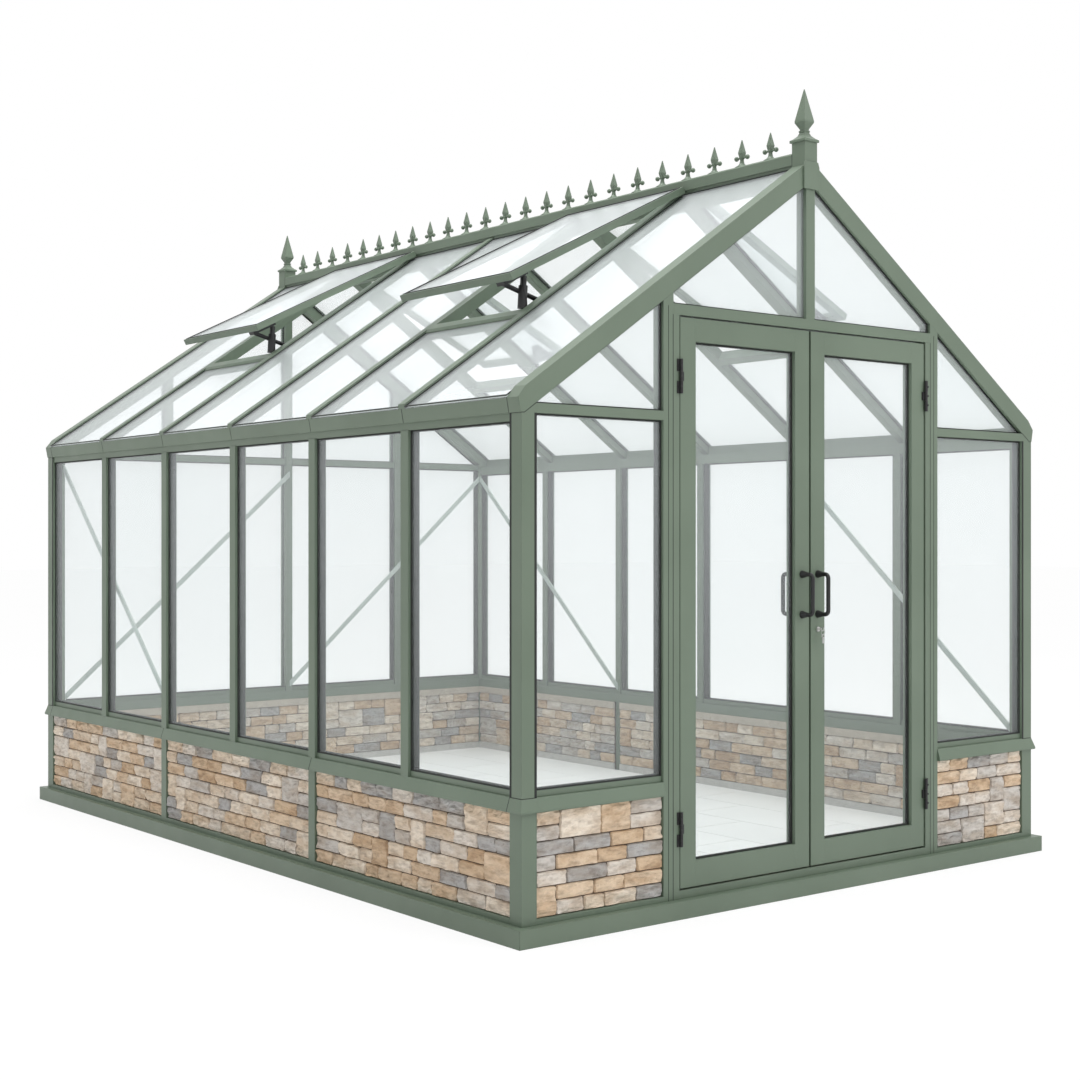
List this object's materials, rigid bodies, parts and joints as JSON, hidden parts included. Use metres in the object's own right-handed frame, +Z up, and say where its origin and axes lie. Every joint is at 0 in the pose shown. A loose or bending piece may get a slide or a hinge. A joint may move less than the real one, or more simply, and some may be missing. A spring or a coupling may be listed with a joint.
{
  "type": "glass greenhouse",
  "caption": "Glazed gable-roofed greenhouse on a stone-faced dwarf wall, with hinged double doors, open roof vents and a crested ridge between finials.",
  "frame": {"origin": "on the ground under the middle of the building, at the underside of the floor", "axes": "+Z up, +Y along the ridge from the doors to the rear gable, +X to the right seen from the doors"},
  "size_m": [2.66, 3.835, 2.866],
  "materials": {
    "frame_paint": "sage green satin powder coat",
    "glazing": "clear",
    "wall_stone": "split-faced",
    "floor_paving": "honed",
    "black_hardware": "satin black"
  },
  "bodies": {
    "frame": {"base_side_rails": "frame_paint", "base_end_rails": "frame_paint", "floor_slab": "floor_paving", "side_stone_panels": "wall_stone", "end_stone_panels": "wall_stone", "panel_beads": "frame_paint", "wall_dividers": "frame_paint", "corner_posts": "frame_paint", "side_sills": "frame_paint", "end_sills": "frame_paint", "sill_corner_blocks": "frame_paint", "glazing_upstands": "frame_paint", "wall_mullions": "frame_paint", "wall_braces": "frame_paint", "door_posts": "frame_paint", "door_jambs": "frame_paint", "door_header": "frame_paint", "door_threshold": "frame_paint", "king_posts": "frame_paint", "gable_transoms": "frame_paint", "eaves_beams": "frame_paint", "verge_rafters": "frame_paint", "ridge_beam": "frame_paint", "ridge_cresting": "frame_paint", "finials": "frame_paint", "roof_bars": "frame_paint", "wall_glass": "glazing", "gable_glass": "glazing", "roof_glass": "glazing", "vent_curb_rails": "frame_paint", "vent_curb_sides": "frame_paint", "vent_sash_stiles": "frame_paint", "vent_sash_rails": "frame_paint", "vent_glass": "glazing", "vent_openers": "black_hardware", "hinge_plates": "black_hardware"},
    "left_door": {"left_door_stiles": "frame_paint", "left_door_rails": "frame_paint", "left_door_glass": "glazing", "left_door_handles": "black_hardware", "left_hinge_knuckles": "black_hardware"},
    "right_door": {"right_door_stiles": "frame_paint", "right_door_rails": "frame_paint", "right_door_glass": "glazing", "right_door_handles": "black_hardware", "right_hinge_knuckles": "black_hardware"}
  },
  "joints": [
    {"name": "left_door_hinge", "type": "hinge", "parent": "frame", "child": "left_door", "pos_m": [-0.633, -1.881, 1], "axis": [0, 0, -1], "range_deg": [0, 110]},
    {"name": "right_door_hinge", "type": "hinge", "parent": "frame", "child": "right_door", "pos_m": [0.633, -1.881, 1], "axis": [0, 0, 1], "range_deg": [0, 110]}
  ]
}
